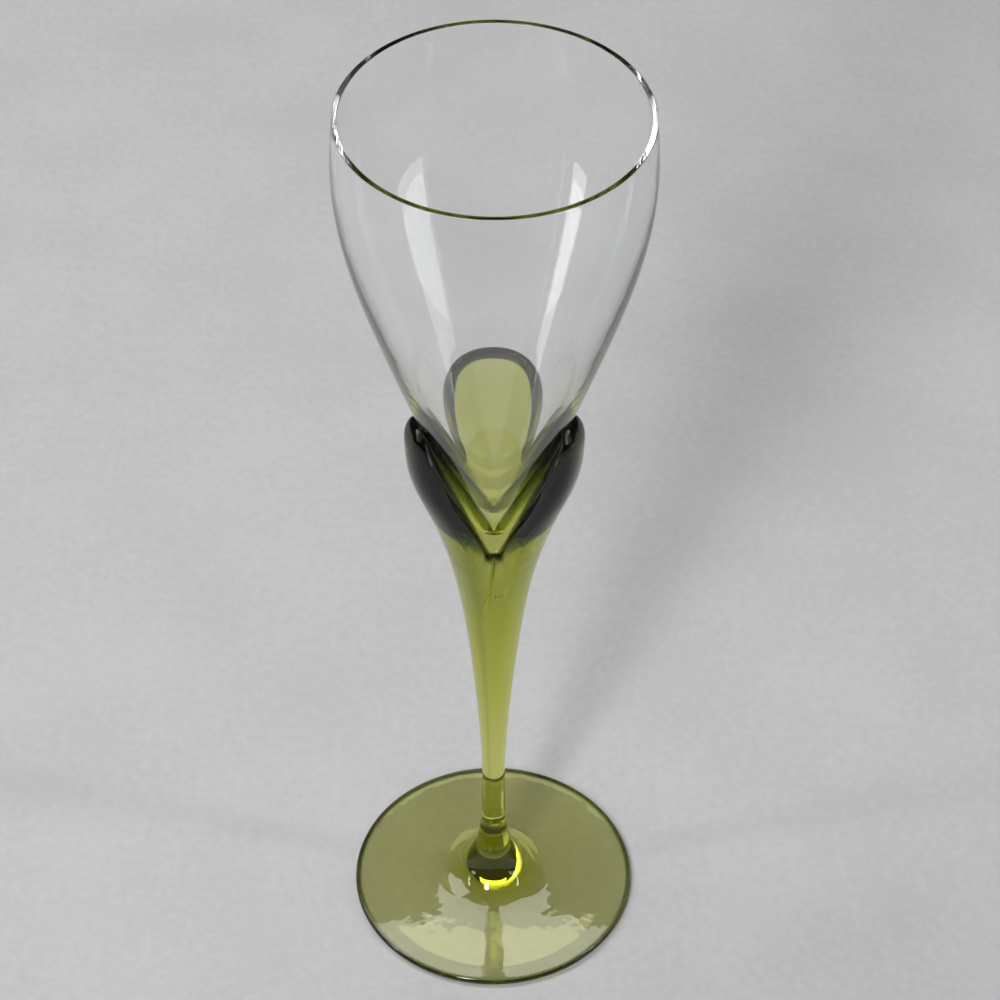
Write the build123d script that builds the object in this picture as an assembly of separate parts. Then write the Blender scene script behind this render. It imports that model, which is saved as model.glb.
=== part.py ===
from build123d import *
import os
from math import cos, radians, sin, tan

# Champagne flute: a clear crystal bowl seated in a green glass calyx of three petals,
# on a drawn green stem, a collar and a disc foot.
# Millimetres, +Z up, origin in the middle of the foot's resting face, front towards -Y.

# ---- overall
TOTAL_HEIGHT = 230.0
RIM_RADIUS = 31.45

# ---- bowl, heights are above the table and radii are of the outer surface
BELLY_RADIUS = 32.1
BELLY_BELOW_RIM = 13.5
SHOULDER_RADIUS = 25.1
SHOULDER_BELOW_RIM = 50.0
WAIST_RADIUS = 15.5
WAIST_BELOW_RIM = 80.0
TIP_RADIUS = 1.0
TIP_BELOW_RIM = 129.0
RIM_WALL = 1.1
SHOULDER_WALL = 1.7
WAIST_WALL = 2.7
CAVITY_FLOOR_BELOW_RIM = 108.5
CAVITY_FLOOR_RADIUS = 1.8

# ---- calyx: three petals that hug the bowl
CALYX_BASE_BELOW_RIM = 118.0
LIP_TOP_ABOVE_BASE = 42.5
LIP_PAST_WAIST = 3.4
LIP_ROUND = 2.0
CHEEK_SHARE_OF_LIP = 0.8254
CHEEK_ABOVE_BASE = 18.0
STEM_TOP_SHARE_OF_LIP = 0.5397
FRONT_NOTCH_TURN = 270.0
FRONT_NOTCH_ANGLE = 39.0
FRONT_NOTCH_DEPTH = 38.5
FRONT_NOTCH_FLOOR_SLOPE = 43.0
FRONT_NOTCH_FLOOR_START = 5.0
REAR_NOTCH_OFF_SIDE = 22.5
REAR_NOTCH_ANGLE = 26.0
REAR_NOTCH_DEPTH = 20.5
NOTCH_ROUND = 0.8
PETAL_SHOULDER_ROUND = 4.0

# ---- stem, collar and foot
STEM_FOOT_END = 21.0
STEM_FOOT_END_RADIUS = 2.9
STEM_NARROW_RADIUS = 2.65
STEM_NARROW_SHARE = 0.143
STEM_MIDDLE_RADIUS = 4.55
STEM_MIDDLE_SHARE = 0.56
COLLAR_RADIUS = 3.95
COLLAR_BASE = 14.0
FOOT_RADIUS = 33.25
FOOT_EDGE = 2.0
FOOT_BOSS_RADIUS = 8.7
FOOT_BOSS_HEIGHT = 5.4
FOOT_MIDDLE_RADIUS = 19.0
FOOT_MIDDLE_HEIGHT = 3.0
REST_RING_WIDTH = 4.0
RECESS_DEPTH = 1.2

# ---- worked out
CALYX_BASE = TOTAL_HEIGHT - CALYX_BASE_BELOW_RIM
LIP_TOP = CALYX_BASE + LIP_TOP_ABOVE_BASE
LIP_RADIUS = WAIST_RADIUS + LIP_PAST_WAIST
CHEEK_RADIUS = CHEEK_SHARE_OF_LIP * LIP_RADIUS
STEM_TOP_RADIUS = STEM_TOP_SHARE_OF_LIP * LIP_RADIUS
STEM_LENGTH = CALYX_BASE - STEM_FOOT_END
STEM_NARROW_HEIGHT = STEM_FOOT_END + STEM_NARROW_SHARE * STEM_LENGTH
STEM_MIDDLE_HEIGHT = STEM_FOOT_END + STEM_MIDDLE_SHARE * STEM_LENGTH
FAR = 4 * FOOT_RADIUS


def lathe(outline):
    """Turn a closed outline of the XZ plane right round the Z axis."""
    return revolve(make_face(outline), Axis.Z, 360)


def below_rim(radius, depth):
    """A point of the bowl's section, from its radius and how far it lies under the rim."""
    return Vector(radius, 0, TOTAL_HEIGHT - depth)


def bowl_blank():
    """The bowl as a solid form, before its cavity is taken out."""
    tip = below_rim(TIP_RADIUS, TIP_BELOW_RIM)
    wall = Edge.make_spline(
        [
            tip,
            below_rim(WAIST_RADIUS, WAIST_BELOW_RIM),
            below_rim(SHOULDER_RADIUS, SHOULDER_BELOW_RIM),
            below_rim(BELLY_RADIUS, BELLY_BELOW_RIM),
            below_rim(RIM_RADIUS, 0),
        ]
    )
    rim_centre = below_rim(0, 0)
    tip_centre = below_rim(0, TIP_BELOW_RIM)
    outline = [
        Edge.make_line(tip_centre, tip),
        wall,
        Edge.make_line(wall @ 1, rim_centre),
        Edge.make_line(rim_centre, tip_centre),
    ]
    return lathe(outline)


def bowl_cavity():
    """The space inside the bowl, from its small round floor up to the flat rim."""
    floor = below_rim(0, CAVITY_FLOOR_BELOW_RIM)
    start = below_rim(CAVITY_FLOOR_RADIUS, CAVITY_FLOOR_BELOW_RIM - CAVITY_FLOOR_RADIUS)
    floor_arc = Edge.make_tangent_arc(floor, Vector(1, 0, 0), start)
    wall = Edge.make_spline(
        [
            start,
            below_rim(WAIST_RADIUS - WAIST_WALL, WAIST_BELOW_RIM),
            below_rim(SHOULDER_RADIUS - SHOULDER_WALL, SHOULDER_BELOW_RIM),
            below_rim(BELLY_RADIUS - RIM_WALL, BELLY_BELOW_RIM),
            below_rim(RIM_RADIUS - RIM_WALL, 0),
        ]
    )
    rim_centre = below_rim(0, 0)
    outline = [
        floor_arc,
        wall,
        Edge.make_line(wall @ 1, rim_centre),
        Edge.make_line(rim_centre, floor),
    ]
    return lathe(outline)


def bowl():
    return bowl_blank() - bowl_cavity()


def green_blank():
    """Stem and calyx as one turned form, from the collar up to the round lip of the petals."""
    bottom = Vector(0, 0, STEM_FOOT_END)
    start = Vector(STEM_FOOT_END_RADIUS, 0, STEM_FOOT_END)
    lip_side = Vector(LIP_RADIUS, 0, LIP_TOP - 3 * LIP_ROUND)
    lip_crest = Vector(LIP_RADIUS - LIP_ROUND, 0, LIP_TOP)
    side = Edge.make_spline(
        [
            start,
            Vector(STEM_NARROW_RADIUS, 0, STEM_NARROW_HEIGHT),
            Vector(STEM_MIDDLE_RADIUS, 0, STEM_MIDDLE_HEIGHT),
            Vector(STEM_TOP_RADIUS, 0, CALYX_BASE),
            Vector(CHEEK_RADIUS, 0, CALYX_BASE + CHEEK_ABOVE_BASE),
            lip_side,
        ]
    )
    lip = Edge.make_tangent_arc(side @ 1, side % 1, lip_crest)
    top = Vector(0, 0, LIP_TOP)
    outline = [
        Edge.make_line(bottom, start),
        side,
        lip,
        Edge.make_line(lip_crest, top),
        Edge.make_line(top, bottom),
    ]
    return lathe(outline)


def stem():
    """The drawn stem, with the socket that the bowl's solid tip is fused into."""
    below = Pos(0, 0, CALYX_BASE / 2) * Box(FAR, FAR, CALYX_BASE)
    return (green_blank() & below) - bowl_blank()


def notch(turn, angle, depth):
    """A V that parts two petals along the direction at `turn` degrees, flaring at the petals' shoulders."""
    half = depth * tan(radians(angle / 2))
    wide = half + 2 * PETAL_SHOULDER_ROUND
    apex = LIP_TOP - depth
    outline = Polyline(
        (0, apex),
        (half, LIP_TOP),
        (wide, LIP_TOP),
        (wide, LIP_TOP + depth),
        (-wide, LIP_TOP + depth),
        (-wide, LIP_TOP),
        (-half, LIP_TOP),
        close=True,
    )
    section = make_face(outline.edges())
    shoulders = [v for v in section.vertices() if abs(abs(v.X) - half) < 0.01]
    section = fillet(shoulders, PETAL_SHOULDER_ROUND)
    section = fillet(section.vertices().sort_by(Axis.Y)[0:1], NOTCH_ROUND)
    return Rot(0, 0, turn + 90) * extrude(Plane.XZ * section, FAR / 2)


def front_notch():
    """The deep front notch: its floor climbs outwards from the bowl's tip."""
    apex = LIP_TOP - FRONT_NOTCH_DEPTH
    below = Rot(-FRONT_NOTCH_FLOOR_SLOPE, 0, 0) * Pos(0, 0, -FAR / 2) * Box(FAR, FAR, FAR)
    below = Pos(0, -FRONT_NOTCH_FLOOR_START, apex) * below
    return notch(FRONT_NOTCH_TURN, FRONT_NOTCH_ANGLE, FRONT_NOTCH_DEPTH) - below


def wedge(start_turn, end_turn):
    """A tall slice round the axis between two directions, in degrees."""
    middle = (start_turn + end_turn) / 2
    corners = [(0, 0)]
    for turn in (start_turn, middle, end_turn):
        corners.append((FAR * cos(radians(turn)), FAR * sin(radians(turn))))
    slice_face = make_face(Polyline(*corners, close=True).edges())
    height = TOTAL_HEIGHT - CALYX_BASE
    return Pos(0, 0, CALYX_BASE) * extrude(slice_face, height)


def petals():
    """The three petals by name: each is the part of the calyx between two notches."""
    wall = green_blank() - bowl_blank()
    rear_right = 360 + REAR_NOTCH_OFF_SIDE
    rear_left = 360 + 180 - REAR_NOTCH_OFF_SIDE
    wall = wall - front_notch()
    for turn in (rear_right, rear_left):
        wall = wall - notch(turn, REAR_NOTCH_ANGLE, REAR_NOTCH_DEPTH)
    turns = [FRONT_NOTCH_TURN, rear_right, rear_left, FRONT_NOTCH_TURN + 360]
    names = ["petal_front_right", "petal_rear", "petal_front_left"]
    return {
        name: wall & wedge(start, end)
        for name, start, end in zip(names, turns, turns[1:])
    }


def foot_collar():
    """The short collar that joins the stem to the foot."""
    low = Vector(COLLAR_RADIUS, 0, COLLAR_BASE)
    high = Vector(STEM_FOOT_END_RADIUS, 0, STEM_FOOT_END)
    side = Edge.make_spline([low, high], tangents=[Vector(0, 0, 1), Vector(-0.1, 0, 1)])
    bottom = Vector(0, 0, COLLAR_BASE)
    top = Vector(0, 0, STEM_FOOT_END)
    outline = [
        Edge.make_line(bottom, low),
        side,
        Edge.make_line(high, top),
        Edge.make_line(top, bottom),
    ]
    return lathe(outline)


def foot():
    """The disc foot: a boss in the middle, a round edge and a shallow recess below."""
    edge_low = Vector(FOOT_RADIUS - FOOT_EDGE / 2, 0, 0)
    edge_high = Vector(FOOT_RADIUS - FOOT_EDGE / 2, 0, FOOT_EDGE)
    edge_out = Vector(FOOT_RADIUS, 0, FOOT_EDGE / 2)
    boss_top = Vector(COLLAR_RADIUS, 0, COLLAR_BASE)
    top = Edge.make_spline(
        [
            edge_high,
            Vector(FOOT_MIDDLE_RADIUS, 0, FOOT_MIDDLE_HEIGHT),
            Vector(FOOT_BOSS_RADIUS, 0, FOOT_BOSS_HEIGHT),
            boss_top,
        ]
    )
    recess_side = Vector(FOOT_RADIUS - FOOT_EDGE / 2 - REST_RING_WIDTH, 0, 0)
    recess_crown = Vector(0, 0, RECESS_DEPTH)
    recess = Edge.make_tangent_arc(recess_crown, Vector(1, 0, 0), recess_side)
    axis_top = Vector(0, 0, COLLAR_BASE)
    outline = [
        Edge.make_three_point_arc(edge_low, edge_out, edge_high),
        top,
        Edge.make_line(boss_top, axis_top),
        Edge.make_line(axis_top, recess_crown),
        recess,
        Edge.make_line(recess_side, edge_low),
    ]
    return lathe(outline)


def write(name, shape):
    export_step(shape, f"parts/{name}.step")


os.makedirs("parts", exist_ok=True)
write("bowl", bowl())
for petal_name, petal in petals().items():
    write(petal_name, petal)
write("stem", stem())
write("foot_collar", foot_collar())
write("foot", foot())
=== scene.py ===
from math import pi, radians, tan

import bpy
import numpy as np
from mathutils import Matrix, Vector


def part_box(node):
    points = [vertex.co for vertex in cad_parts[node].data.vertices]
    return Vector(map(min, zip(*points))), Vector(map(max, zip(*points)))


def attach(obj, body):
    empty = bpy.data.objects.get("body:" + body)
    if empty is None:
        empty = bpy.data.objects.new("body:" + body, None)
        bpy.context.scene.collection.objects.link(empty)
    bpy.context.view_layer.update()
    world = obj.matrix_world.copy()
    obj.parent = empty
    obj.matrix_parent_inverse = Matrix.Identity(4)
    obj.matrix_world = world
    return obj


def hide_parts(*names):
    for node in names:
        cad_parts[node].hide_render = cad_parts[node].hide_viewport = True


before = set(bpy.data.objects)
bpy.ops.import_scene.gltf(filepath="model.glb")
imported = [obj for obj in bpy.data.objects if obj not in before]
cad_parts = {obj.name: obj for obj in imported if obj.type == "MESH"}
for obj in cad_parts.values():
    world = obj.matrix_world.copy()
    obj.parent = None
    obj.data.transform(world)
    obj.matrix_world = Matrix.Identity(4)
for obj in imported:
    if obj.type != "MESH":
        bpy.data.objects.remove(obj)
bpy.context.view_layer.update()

MM = 0.001

# ---- places that every piece is built from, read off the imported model
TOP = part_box("bowl")[1].z
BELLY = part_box("bowl")[1].x
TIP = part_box("bowl")[0].z
STEM_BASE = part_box("stem")[0].z
CALYX_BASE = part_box("stem")[1].z
CALYX_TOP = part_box("petal_rear")[1].z
COLLAR_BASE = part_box("foot_collar")[0].z
COLLAR_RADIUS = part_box("foot_collar")[1].x
FOOT_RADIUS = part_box("foot")[1].x

# ---- section of the bowl: radius and depth under the rim
OUTER_WALL = [(15.5, 80.0), (25.1, 50.0), (None, 13.5), (31.45, 0.0)]
CAVITY_WALL = [(12.8, 80.0), (23.4, 50.0), (31.0, 13.5), (30.35, 0.0)]
TIP_ROUND = 1.2 * MM
CAVITY_FLOOR = 108.5 * MM
CAVITY_ROUND = 1.8 * MM
RIM_BEVEL = 0.12 * MM
FUSED = 0.02 * MM

# ---- section of stem and calyx: radius and height, in millimetres
STEM_END_RADIUS = 2.9
STEM_NARROW = (2.65, 34.0)
STEM_MIDDLE = (4.55, 72.0)
STEM_TOP_RADIUS = 10.2
CHEEK = (15.6, 130.0)
SWELL = (18.3, 138.0)
LIP_RADIUS = 19.6
LIP_FLARE = 0.3

# ---- the petals' edge: each notch has a direction, an angle and a start above the lowest notch
FRONT = 270.0
NOTCH_APEX = 4.0 * MM
NOTCH_ROUND = 0.5 * MM
NOTCHES = [(FRONT, 39.0, 0.0), (24.0, 26.0, 18 * MM), (159.5, 26.0, 18 * MM)]
PETAL_TURNS = (92.0, 212.0, 328.0)
PETAL_HALF_SPAN = 68
CAP_POWER = 2.8
CAP_FLATNESS = 2.7
EDGE_POWER = 8.0

# ---- how the petals swell from their edge, and the floor of the front notch
PILLOW = 5.5 * MM
PILLOW_POWER = 2.0
FLOOR_SLOPE = 0.92
LIP_DEPTH = 14 * MM
STEM_ROWS_TOP = 80 * MM

# ---- creases between the petals: direction, lowest height and depth
CREASES = [(FRONT, 50 * MM, 1.0 * MM), (24.0, 90 * MM, 0.4 * MM), (159.5, 90 * MM, 0.4 * MM)]
CREASE_OFFSET = 2.1 * MM
CREASE_FADE = 45 * MM
FOLD_WIDTH = 0.7 * MM
LOBE_WIDTH = 3.5 * MM
CREASE_ROUND = 0.02

# ---- section of collar and foot
COLLAR_WAIST_RADIUS = 3.5 * MM
AXIS_GAP = 0.5 * MM
FOOT_EDGE_ROUND = 1.0 * MM
FOOT_MIDDLE = (19 * MM, 3.0 * MM)
FOOT_BOSS = (8.7 * MM, 5.4 * MM)
FOOT_REST_WIDTH = 4 * MM
FOOT_RECESS = 1.2 * MM

# ---- where the painted shade on the front lips starts: denser dark colour in the glass stands in for the shade they show
LIP_SHADE_SLOPE = 0.9
LIP_SHADE_FROM = 117.5 * MM

# ---- colours that the glass lets through, and how fast they build up with depth; the lip and foot-edge ones are painted shade
CLEAR_BASE = (0.985, 0.99, 0.99)
STEM_TINT = (0.81, 0.83, 0.02)
STEM_DENSITY = 280.0
# the lip tint and density are painted shade: they darken the front lips' glass to stand in for shade
LIP_SHADE_TINT = (0.2, 0.36, 0.0)
LIP_SHADE_DENSITY = 420.0
FOOT_TINT = (0.85, 0.86, 0.02)
FOOT_DENSITY = 195.0
# the foot-edge tint and density are painted shade: a dark ring of colour at the foot's edge
FOOT_EDGE_SHADE_TINT = (0.3, 0.36, 0.0)
FOOT_EDGE_SHADE_DENSITY = 700.0

# ---- mesh density
LATHE_TURNS = 256
COLLAR_TURNS = 160
CALYX_COLUMNS = 560
STEM_ROWS = 44
CALYX_ROWS = 26
LIP_ROWS = 50
SOCKET_ROWS = 46

# ---- stage: the camera, and each soft box with its place, aim, size and power
CAMERA_LENS = 114.26
CAMERA_SENSOR = 36
CAMERA_AT = (0.0013, -0.4873, 0.6023)
CAMERA_DOWN = 44.277
CAMERA_ROLL = 0.2
FLOOR_HALF = 3.0
WORLD_GREY = 0.05
SOFT_BOXES = {
    "key": ((-0.8, 0.35, 1.25), (0, 0, 0.05), (0.7, 0.7), 6.6),
    "window": ((-0.55, -1.38, 1.36), (0, 0, 0.12), (0.3, 0.9), 17.0),
    "strip_left": ((-0.8, -0.2, 0.6), (0, 0, 0.14), (0.07, 0.5), 1.0),
    "strip_right": ((0.8, -0.2, 0.6), (0, 0, 0.14), (0.07, 0.5), 1.2),
    "low_left": ((-0.41, -0.16, 0.08), (0.012, -0.01, 0.148), (0.1, 0.06), 0.08),
    "low_right": ((0.41, -0.16, 0.08), (-0.012, -0.01, 0.148), (0.2, 0.06), 0.1),
    "over": ((0.0, 0.62, 1.5), (0, 0.1, 0.0), (0.9, 0.6), 6.0),
}


def curve_through(points, count):
    """A smooth natural cubic through points of the section, sampled count times."""
    p = np.array(points, float)
    gaps = np.linalg.norm(np.diff(p, axis=0), axis=1)
    t = np.concatenate([[0], np.cumsum(gaps)])
    n = len(p)
    system = np.eye(n)
    right = np.zeros_like(p)
    for i in range(1, n - 1):
        system[i, i - 1] = gaps[i - 1]
        system[i, i] = 2 * (gaps[i - 1] + gaps[i])
        system[i, i + 1] = gaps[i]
        right[i] = 6 * ((p[i + 1] - p[i]) / gaps[i] - (p[i] - p[i - 1]) / gaps[i - 1])
    bend = np.linalg.solve(system, right)
    at = np.linspace(0, t[-1], count)
    k = np.clip(np.searchsorted(t, at) - 1, 0, n - 2)
    g = gaps[k][:, None]
    a = ((t[k + 1] - at)[:, None]) / g
    b = 1 - a
    return a * p[k] + b * p[k + 1] + ((a**3 - a) * bend[k] + (b**3 - b) * bend[k + 1]) * g**2 / 6


def arc(centre, radius, start, end, count):
    """Points of a circle in the section plane, between two angles in degrees."""
    turn = np.radians(np.linspace(start, end, count))
    return np.stack([centre[0] + radius * np.cos(turn), centre[1] + radius * np.sin(turn)], 1)


def join(*runs):
    """One outline from several runs, without the points that two runs share."""
    out = [np.atleast_2d(np.array(runs[0], float))]
    for run in runs[1:]:
        run = np.atleast_2d(np.array(run, float))
        if np.linalg.norm(run[0] - out[-1][-1]) < 1e-7:
            run = run[1:]
        if len(run):
            out.append(run)
    return np.concatenate(out)


def grid_piece(name, grid):
    """A closed piece from rings of points, grid[row, column], whose end rows lie on the axis."""
    rows, columns = grid.shape[:2]
    rings = grid[1:-1].reshape(-1, 3)
    first, last = len(rings), len(rings) + 1
    vertices = [tuple(v) for v in rings] + [tuple(grid[0, 0]), tuple(grid[-1, 0])]
    faces = []
    for row in range(rows - 3):
        low, high = row * columns, (row + 1) * columns
        for c in range(columns):
            d = (c + 1) % columns
            faces.append((low + c, low + d, high + d, high + c))
    top = (rows - 3) * columns
    for c in range(columns):
        d = (c + 1) % columns
        faces.append((first, d, c))
        faces.append((last, top + c, top + d))
    mesh = bpy.data.meshes.new(name)
    mesh.from_pydata(vertices, [], faces)
    mesh.validate()
    mesh.polygons.foreach_set("use_smooth", [True] * len(mesh.polygons))
    mesh.update()
    piece = bpy.data.objects.new(name, mesh)
    bpy.context.scene.collection.objects.link(piece)
    return piece


def lathe_piece(name, outline, turns=LATHE_TURNS):
    """A closed turned piece from an outline that runs from the axis, round the outside, to the axis."""
    turn = np.linspace(0, 2 * pi, turns, endpoint=False)
    r, z = outline[:, 0][:, None], outline[:, 1][:, None]
    grid = np.stack([r * np.cos(turn), r * np.sin(turn), z + 0 * turn], 2)
    return grid_piece(name, grid)


def wall_points(stations):
    """Section points in metres from radii and depths under the rim, in millimetres."""
    points = []
    for radius, depth in stations:
        points.append((BELLY if radius is None else radius * MM, TOP - depth * MM))
    return points


# ---- the bowl
def bowl_outside(count=170):
    """The bowl's outer wall, from just above its round tip up to the rim."""
    start = (TIP_ROUND, TIP + TIP_ROUND)
    return curve_through([start] + wall_points(OUTER_WALL), count)


def bowl_tip(count=10):
    """The round tip under the bowl, from the axis outwards."""
    return arc((0, TIP + TIP_ROUND), TIP_ROUND, -90, 0, count)


def bowl_radius(z):
    """The radius of the bowl's outer wall at a height."""
    wall = join(bowl_tip(), bowl_outside())
    return np.interp(z, wall[:, 1], wall[:, 0])


def make_bowl():
    """The clear bowl: a turned shell with a thick solid tip and a flat, finely bevelled rim."""
    outside = bowl_outside()
    floor = TOP - CAVITY_FLOOR
    corner = (CAVITY_ROUND, floor + CAVITY_ROUND)
    inside = curve_through([corner] + wall_points(CAVITY_WALL), 150)
    cup = arc((0, floor + CAVITY_ROUND), CAVITY_ROUND, -90, 0, 16)
    b = RIM_BEVEL
    out_r, in_r = outside[-1][0], inside[-1][0]
    outside = outside[outside[:, 1] < TOP - 1.5 * b]
    inside = inside[inside[:, 1] < TOP - 1.5 * b]
    outer_corner = arc((out_r - b, TOP - b), b, 0, 90, 6)
    inner_corner = arc((in_r + b, TOP - b), b, 90, 180, 6)
    land = np.linspace(outer_corner[-1], inner_corner[0], 9)
    outline = join(bowl_tip(), outside, outer_corner, land, inner_corner, inside[::-1], cup[::-1])
    outline[0, 0] = 0
    outline[-1, 0] = 0
    return lathe_piece("crystal_bowl", outline)


# ---- stem and calyx
def green_side(count=400):
    """The outer side of stem and calyx, as if no notch were cut."""
    base, top = CALYX_BASE / MM, CALYX_TOP / MM
    points = [(STEM_END_RADIUS, STEM_BASE / MM), STEM_NARROW, STEM_MIDDLE]
    points += [(STEM_TOP_RADIUS, base), CHEEK, SWELL]
    points += [(LIP_RADIUS, top - 6.0), (LIP_RADIUS + LIP_FLARE, top + 2.0)]
    return curve_through(np.array(points) * MM, count)


def turned_from(turn, centre):
    """The angle between directions in degrees, from 0 to 180."""
    return np.abs((turn - centre + 180) % 360 - 180)


def smooth_step(value, low, high):
    """0 below low, 1 above high, and a smooth rise between."""
    t = np.clip((value - low) / (high - low), 0, 1)
    return t * t * (3 - 2 * t)


def edge_height(turn):
    """The height at which the petals' edge meets the bowl, at directions in degrees."""
    apex = CALYX_BASE + NOTCH_APEX
    full = CALYX_TOP - apex
    near = np.min([turned_from(turn, centre) for centre in PETAL_TURNS], axis=0)
    cap = full * (1 - np.clip(near / PETAL_HALF_SPAN, 0, 0.9999) ** CAP_POWER) ** (1 / CAP_FLATNESS)
    total = cap**-EDGE_POWER
    rise = np.linspace(0, 60 * MM, 500)
    for centre, angle, base in NOTCHES:
        half = NOTCH_ROUND + (rise - base) * tan(radians(angle / 2))
        reach = np.degrees(np.arcsin(np.clip(half / bowl_radius(apex + rise), -1, 1)))
        keep = np.maximum.accumulate(reach)
        keep = keep + np.arange(len(keep)) * 1e-6
        flank = np.interp(turned_from(turn, centre), keep, rise, right=0.2)
        flank = (flank**4 + NOTCH_ROUND**4) ** 0.25
        total = total + flank**-EDGE_POWER
    return apex + total ** (-1 / EDGE_POWER)


def calyx_turns():
    """Directions of the mesh's columns, closer together where the edge is steep."""
    fine = np.linspace(0, 360, 14401)
    z = edge_height(fine)
    along = 15 * MM * np.radians(np.diff(fine))
    step = np.hypot(np.diff(z), along) + along
    length = np.concatenate([[0], np.cumsum(step)])
    return np.interp(np.linspace(0, length[-1], CALYX_COLUMNS, endpoint=False), length, fine)


def distance_to_edge(turn, z):
    """How far points of the calyx wall lie from the petals' edge, along the bowl."""
    edge_turn = np.linspace(0, 360, 1441)
    edge_z = edge_height(edge_turn)
    edge_r = bowl_radius(edge_z)
    r = bowl_radius(z)
    out = np.empty_like(z)
    for c in range(z.shape[1]):
        near = np.where(turned_from(edge_turn[:-1], turn[c]) < 70)[0]
        swing = np.radians((edge_turn - turn[c] + 180) % 360 - 180)
        line = np.stack([edge_r * np.cos(swing), edge_r * np.sin(swing), edge_z], 1)
        start, step = line[near], line[near + 1] - line[near]
        points = np.stack([r[:, c], 0 * r[:, c], z[:, c]], 1)
        gap = points[:, None, :] - start[None, :, :]
        share = np.clip((gap * step).sum(2) / (step**2).sum(1), 0, 1)
        gap = gap - share[:, :, None] * step
        out[:, c] = np.sqrt((gap**2).sum(2).min(axis=1))
    return out


def crease(turn, z, out_r):
    """How deep the creases between the petals run down the outside of calyx and stem."""
    depth = np.zeros_like(z)
    for centre, low, deep in CREASES:
        shift = np.degrees(np.arcsin(np.clip(CREASE_OFFSET / out_r, 0, 0.7)))
        shift = shift * (1 - smooth_step(z, 104 * MM, 120 * MM))
        away = turned_from(turn[None, :], centre - shift) * pi / 180 * out_r
        fade = smooth_step(z, low, low + CREASE_FADE)
        fold = np.exp(-np.sqrt((away / FOLD_WIDTH) ** 2 + CREASE_ROUND))
        lobe = np.exp(-np.sqrt((away / LOBE_WIDTH) ** 2 + CREASE_ROUND))
        lobe = lobe * smooth_step(z, 90 * MM, 116 * MM)
        depth = depth + deep * (0.5 * fold * fade + lobe)
    return depth


def outside_rows(edge):
    """Heights of the outside's rows: even up the stem, then following the petals' edge."""
    rows = [np.full(len(edge), z) for z in np.linspace(STEM_BASE, STEM_ROWS_TOP, STEM_ROWS)]
    low, high = rows[-1], edge - LIP_DEPTH
    for share in np.linspace(0, 1, CALYX_ROWS)[1:-1]:
        rows.append(low + (high - low) * share)
    lip = (1 - np.cos(np.linspace(0, pi / 2, LIP_ROWS))) * LIP_DEPTH
    rows += [edge - depth for depth in lip[::-1]]
    return np.array(rows)


def swell_share(turn, height):
    """The share of its full thickness that the glass has: 0 on the petals' edge, 1 well below it."""
    away = distance_to_edge(turn, height)
    away[-1] = 0
    near = 1 - np.clip(away / PILLOW, 0, 1)
    swell = (1 - near**PILLOW_POWER) ** (1 / PILLOW_POWER)
    return 1 - (1 - swell) * smooth_step(height, 92 * MM, 108 * MM)


def floor_lift(turn, height):
    """How far the outside climbs for its thickness, which slopes the front notch's floor."""
    lift = FLOOR_SLOPE * (1 - smooth_step(turned_from(turn, FRONT)[None, :], 20, 46))
    return lift * smooth_step(height, 84 * MM, 112 * MM)


def outside_turns(turn, height, inside, outer_r):
    """Directions of the outside's points: beside the front notch they leave the bowl straight ahead."""
    from_notch = (turn - FRONT + 180) % 360 - 180
    sideways = np.clip(from_notch, -90, 90)[None, :]
    flat = np.sin(np.radians(sideways)) * inside / np.maximum(outer_r, inside + 1e-6)
    pull = 1 - smooth_step(np.abs(from_notch)[None, :], 25, 95)
    pull = pull * smooth_step(height, 88 * MM, 110 * MM)
    return turn[None, :] + pull * (np.degrees(np.arcsin(flat)) - sideways)


def make_stem():
    """The green glass: stem, calyx and petals round the bowl, as one closed piece."""
    side = green_side()

    def outside_radius(z):
        return np.interp(z, side[:, 1], side[:, 0])

    turn = calyx_turns()
    edge = edge_height(turn)
    height = outside_rows(edge)
    inside = np.where(height < TIP, 0, bowl_radius(height) + FUSED)
    swell = swell_share(turn, height)
    lift = floor_lift(turn, height)
    thick = outside_radius(height) - inside
    for _ in range(6):
        thick = np.maximum(outside_radius(height + lift * thick) - inside, 0)
    outer_z = height + lift * thick * swell
    outer_r = inside + thick * swell
    outer_r = outer_r - crease(turn, outer_z, outer_r) * swell
    floor = TIP + FUSED
    share = np.linspace(0, 1, SOCKET_ROWS)[1:, None] ** 1.3
    inner_z = edge + (floor - edge) * share
    inner_r = np.where(inner_z < TIP + 1.5 * FUSED, 0, bowl_radius(inner_z) - FUSED)
    axis = np.zeros((1, len(turn)))
    z = np.concatenate([axis + STEM_BASE, outer_z, inner_z[:-1], axis + floor])
    r = np.concatenate([axis, outer_r, inner_r[:-1], axis])
    outer_turn = outside_turns(turn, height, inside, outer_r)
    straight = np.repeat(turn[None, :], len(inner_r), axis=0)
    angle = np.radians(np.concatenate([turn[None, :], outer_turn, straight]))
    grid = np.stack([r * np.cos(angle), r * np.sin(angle), z], 2)
    return grid_piece("stem_and_calyx", grid)


# ---- collar and foot
def make_collar():
    """The short collar between stem and foot."""
    low, high = COLLAR_BASE - FUSED, STEM_BASE + FUSED
    waist = (COLLAR_WAIST_RADIUS, (low + high) / 2)
    side = curve_through([(COLLAR_RADIUS, low), waist, (STEM_END_RADIUS * MM, high)], 24)
    below = np.linspace((AXIS_GAP, low), side[0], 6)
    above = np.linspace(side[-1], (AXIS_GAP, high), 5)
    outline = join([(0, low)], below, side, above, [(0, high)])
    return lathe_piece("foot_collar_glass", outline, COLLAR_TURNS)


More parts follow.
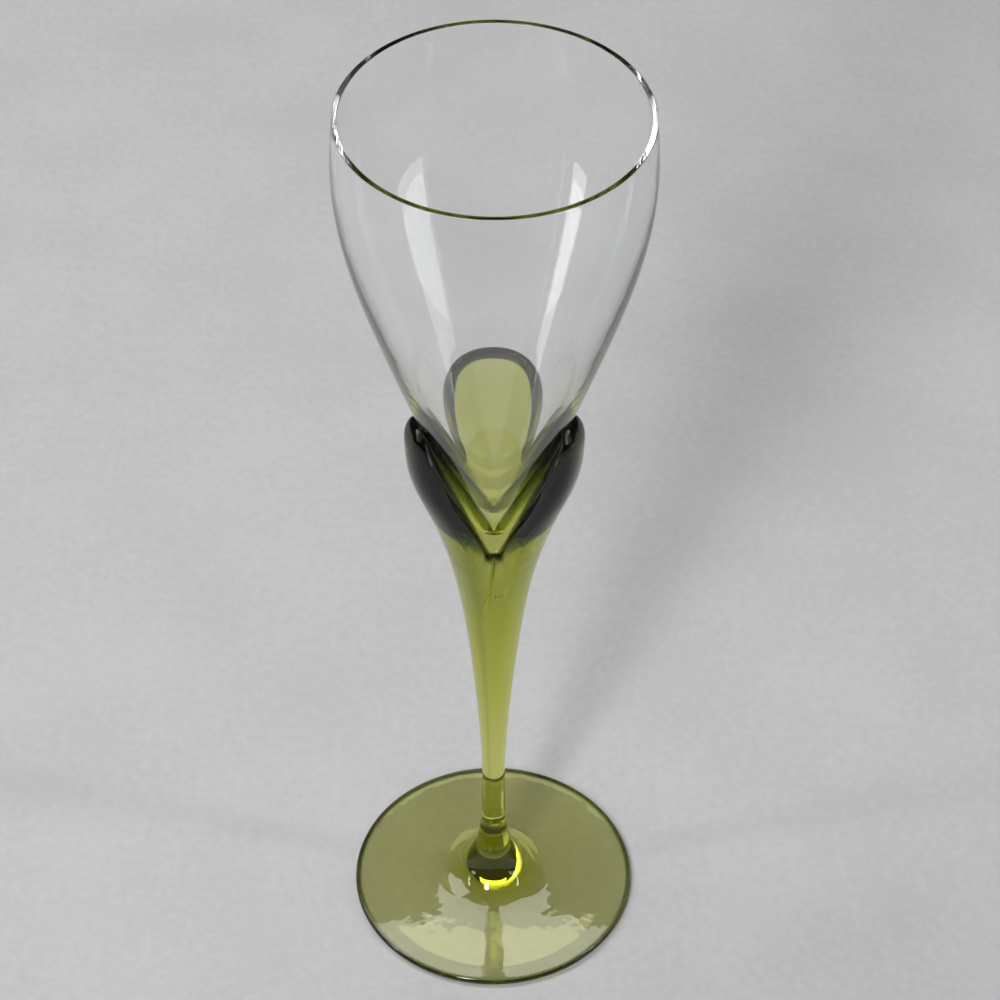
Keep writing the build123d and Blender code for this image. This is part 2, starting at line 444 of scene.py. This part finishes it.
def make_foot():
    """The disc foot: a boss in the middle, a round edge and a shallow recess below."""
    edge = FOOT_EDGE_ROUND
    rim = arc((FOOT_RADIUS - edge, edge), edge, -90, 90, 18)
    boss_top = (COLLAR_RADIUS, COLLAR_BASE)
    top = curve_through([rim[-1], FOOT_MIDDLE, FOOT_BOSS, boss_top], 160)
    rest = FOOT_RADIUS - edge - FOOT_REST_WIDTH
    t = np.linspace(0, 1, 60)
    under = np.stack([t * rest, FOOT_RECESS * (1 - t**2)], 1)
    cap = np.linspace(boss_top, (0.3 * MM, COLLAR_BASE), 5)
    outline = join([(0, FOOT_RECESS)], under, rim, top, cap, [(0, COLLAR_BASE)])
    outline[0, 0] = 0
    return lathe_piece("foot_disc", outline)


# ---- materials
def new_material(name):
    """A material with an empty node tree."""
    material = bpy.data.materials.new(name)
    material.use_nodes = True
    nodes = material.node_tree.nodes
    nodes.clear()
    return material, nodes, material.node_tree.links


def glass_material(name, absorb=None, density=0.0, base=(1, 1, 1), wave=0.05, grain=60.0):
    """Polished glass: clear surface with faint ripples, and colour that builds up with depth."""
    material, nodes, links = new_material(name)
    out = nodes.new("ShaderNodeOutputMaterial")
    shader = nodes.new("ShaderNodeBsdfPrincipled")
    shader.inputs["Base Color"].default_value = (*base, 1)
    shader.inputs["Transmission Weight"].default_value = 1.0
    shader.inputs["IOR"].default_value = 1.52
    shader.inputs["Roughness"].default_value = 0.0
    links.new(shader.outputs["BSDF"], out.inputs["Surface"])
    place = nodes.new("ShaderNodeTexCoord")
    ripple = nodes.new("ShaderNodeTexNoise")
    ripple.inputs["Scale"].default_value = grain
    ripple.inputs["Detail"].default_value = 2.0
    links.new(place.outputs["Object"], ripple.inputs["Vector"])
    bump = nodes.new("ShaderNodeBump")
    bump.inputs["Strength"].default_value = wave
    bump.inputs["Distance"].default_value = 0.0004
    links.new(ripple.outputs["Fac"], bump.inputs["Height"])
    links.new(bump.outputs["Normal"], shader.inputs["Normal"])
    if absorb:
        depth = nodes.new("ShaderNodeVolumeAbsorption")
        depth.inputs["Color"].default_value = (*absorb, 1)
        depth.inputs["Density"].default_value = density
        links.new(depth.outputs["Volume"], out.inputs["Volume"])
    return material


def math_node(nodes, links, kind, a, b):
    """The output of a math node on two values or sockets."""
    node = nodes.new("ShaderNodeMath")
    node.operation = kind
    for socket, value in zip(node.inputs, (a, b)):
        if isinstance(value, (int, float)):
            socket.default_value = value
        else:
            links.new(value, socket)
    return node.outputs[0]


def soft_ramp(nodes, links, value, low, high, start, end):
    """A smooth change from start to end while a value goes from low to high."""
    node = nodes.new("ShaderNodeMapRange")
    node.interpolation_type = "SMOOTHSTEP"
    links.new(value, node.inputs[0])
    for socket, number in zip(node.inputs[1:5], (low, high, start, end)):
        socket.default_value = number
    return node.outputs[0]


def deepen_with_painted_shade(material, shade_density, shade_color, where):
    """Adds denser colour to a part of the glass as painted shade, given by a rule on its X, Y and Z."""
    nodes, links = material.node_tree.nodes, material.node_tree.links
    out = next(n for n in nodes if n.type == "OUTPUT_MATERIAL")
    even = next(n for n in nodes if n.type == "VOLUME_ABSORPTION")
    place = nodes.new("ShaderNodeTexCoord")
    split = nodes.new("ShaderNodeSeparateXYZ")
    links.new(place.outputs["Object"], split.inputs["Vector"])
    deep = nodes.new("ShaderNodeVolumeAbsorption")
    deep.inputs["Color"].default_value = (*shade_color, 1)
    share = where(nodes, links, split.outputs)
    links.new(math_node(nodes, links, "MULTIPLY", share, shade_density), deep.inputs["Density"])
    both = nodes.new("ShaderNodeAddShader")
    links.new(even.outputs[0], both.inputs[0])
    links.new(deep.outputs[0], both.inputs[1])
    links.new(both.outputs[0], out.inputs["Volume"])
    material.cycles.volume_step_rate = 0.15


def front_lips_painted_shade(nodes, links, at):
    """Painted shade: the lips of the two front petals, above a line that climbs from the front notch,
    where denser dark colour stands in for shade.
    """
    side = math_node(nodes, links, "ABSOLUTE", at["X"], 0.0)
    climb = math_node(nodes, links, "MULTIPLY", side, LIP_SHADE_SLOPE)
    above = math_node(nodes, links, "SUBTRACT", at["Z"], climb)
    high = soft_ramp(nodes, links, above, LIP_SHADE_FROM, LIP_SHADE_FROM + 0.8 * MM, 0.0, 1.0)
    front = soft_ramp(nodes, links, at["Y"], -1 * MM, 5 * MM, 1.0, 0.0)
    return math_node(nodes, links, "MULTIPLY", high, front)


def foot_edge_painted_shade(nodes, links, at):
    """Painted shade: the outermost ring of the foot, where denser dark colour stands in for the dark of
    its edge.
    """
    x2 = math_node(nodes, links, "MULTIPLY", at["X"], at["X"])
    y2 = math_node(nodes, links, "MULTIPLY", at["Y"], at["Y"])
    reach = math_node(nodes, links, "SQRT", math_node(nodes, links, "ADD", x2, y2), 0.0)
    return soft_ramp(nodes, links, reach, FOOT_RADIUS - 1.6 * MM, FOOT_RADIUS - 0.6 * MM, 0.0, 1.0)


def paper_material():
    """Pale matt paper with faint clouds and fibres."""
    material, nodes, links = new_material("pale_paper")
    out = nodes.new("ShaderNodeOutputMaterial")
    shader = nodes.new("ShaderNodeBsdfPrincipled")
    shader.inputs["Roughness"].default_value = 0.9
    shader.inputs["Specular IOR Level"].default_value = 0.2
    place = nodes.new("ShaderNodeTexCoord")
    cloud = nodes.new("ShaderNodeTexNoise")
    cloud.inputs["Scale"].default_value = 24.0
    cloud.inputs["Detail"].default_value = 4.0
    fibre = nodes.new("ShaderNodeTexNoise")
    fibre.inputs["Scale"].default_value = 420.0
    fibre.inputs["Detail"].default_value = 5.0
    tone = nodes.new("ShaderNodeMixRGB")
    tone.inputs["Color1"].default_value = (0.585, 0.585, 0.59, 1)
    tone.inputs["Color2"].default_value = (0.635, 0.635, 0.64, 1)
    links.new(place.outputs["Object"], cloud.inputs["Vector"])
    links.new(place.outputs["Object"], fibre.inputs["Vector"])
    both = math_node(nodes, links, "ADD", cloud.outputs["Fac"], fibre.outputs["Fac"])
    blend = math_node(nodes, links, "MULTIPLY", both, 0.5)
    links.new(soft_ramp(nodes, links, blend, 0.36, 0.64, 0.0, 1.0), tone.inputs["Fac"])
    links.new(tone.outputs["Color"], shader.inputs["Base Color"])
    links.new(shader.outputs["BSDF"], out.inputs["Surface"])
    return material


# ---- stage
def make_floor():
    """The flat floor under the foot."""
    mesh = bpy.data.meshes.new("floor")
    s = FLOOR_HALF
    mesh.from_pydata([(-s, -s, 0), (s, -s, 0), (s, s, 0), (-s, s, 0)], [], [(0, 1, 2, 3)])
    floor = bpy.data.objects.new("floor", mesh)
    floor.location.z = -0.05 * MM
    bpy.context.scene.collection.objects.link(floor)
    mesh.materials.append(paper_material())


def softbox(name, at, aim, size, power):
    """A rectangular soft light at a place, aimed at a point."""
    light = bpy.data.lights.new(name, "AREA")
    light.shape = "RECTANGLE"
    light.size, light.size_y = size
    light.energy = power
    lamp = bpy.data.objects.new(name, light)
    lamp.location = at
    way = Vector(aim) - Vector(at)
    lamp.rotation_euler = way.to_track_quat("-Z", "Y").to_euler()
    bpy.context.scene.collection.objects.link(lamp)


def make_world():
    """An even, dim grey room."""
    world = bpy.data.worlds.new("studio")
    world.use_nodes = True
    bpy.context.scene.world = world
    back = world.node_tree.nodes["Background"]
    back.inputs["Color"].default_value = (WORLD_GREY, WORLD_GREY, WORLD_GREY, 1)
    back.inputs["Strength"].default_value = 1.0


def make_camera():
    """The photograph's viewing angle, from in front and above."""
    data = bpy.data.cameras.new("camera")
    data.lens = CAMERA_LENS
    data.sensor_width = CAMERA_SENSOR
    camera = bpy.data.objects.new("camera", data)
    camera.location = CAMERA_AT
    tilt = Matrix.Rotation(radians(90 - CAMERA_DOWN), 3, "X")
    roll = Matrix.Rotation(radians(CAMERA_ROLL), 3, "Z")
    camera.rotation_euler = (tilt @ roll).to_euler()
    bpy.context.scene.collection.objects.link(camera)
    bpy.context.scene.camera = camera


def set_light_paths():
    """Enough bounces for light to get through every wall of the glass."""
    scene = bpy.context.scene
    scene.view_settings.view_transform = "Standard"
    cycles = scene.cycles
    cycles.max_bounces = 64
    cycles.transmission_bounces = 64
    cycles.glossy_bounces = 32
    cycles.transparent_max_bounces = 32
    cycles.volume_bounces = 0
    cycles.sample_clamp_indirect = 8.0


make_camera()
make_world()
make_floor()
for box_name, (at, aim, size, power) in SOFT_BOXES.items():
    softbox(box_name, at, aim, size, power)
set_light_paths()

# ---- the glass, and the CAD nodes that each piece replaces
PETALS = ["petal_rear", "petal_front_left", "petal_front_right"]
crystal = glass_material("clear_crystal", base=CLEAR_BASE)
green = glass_material("green_glass", STEM_TINT, STEM_DENSITY)
petal_green_lip_shade = glass_material("petal_glass_lip_shade", STEM_TINT, STEM_DENSITY)
# painted shade: denser dark colour in the front lips
deepen_with_painted_shade(petal_green_lip_shade, LIP_SHADE_DENSITY, LIP_SHADE_TINT, front_lips_painted_shade)
foot_green_edge_shade = glass_material("foot_glass_edge_shade", FOOT_TINT, FOOT_DENSITY, wave=0.22, grain=150.0)
# painted shade: denser dark colour round the foot's edge
deepen_with_painted_shade(foot_green_edge_shade, FOOT_EDGE_SHADE_DENSITY, FOOT_EDGE_SHADE_TINT, foot_edge_painted_shade)
for piece, material, slot, nodes in (
    (make_bowl(), crystal, "clear_crystal", ["bowl"]),
    (make_stem(), petal_green_lip_shade, "green_glass", ["stem"] + PETALS),
    (make_collar(), green, "green_glass", ["foot_collar"]),
    (make_foot(), foot_green_edge_shade, "green_glass", ["foot"]),
):
    piece.data.materials.append(material)
    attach(piece, "root")
    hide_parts(*nodes)
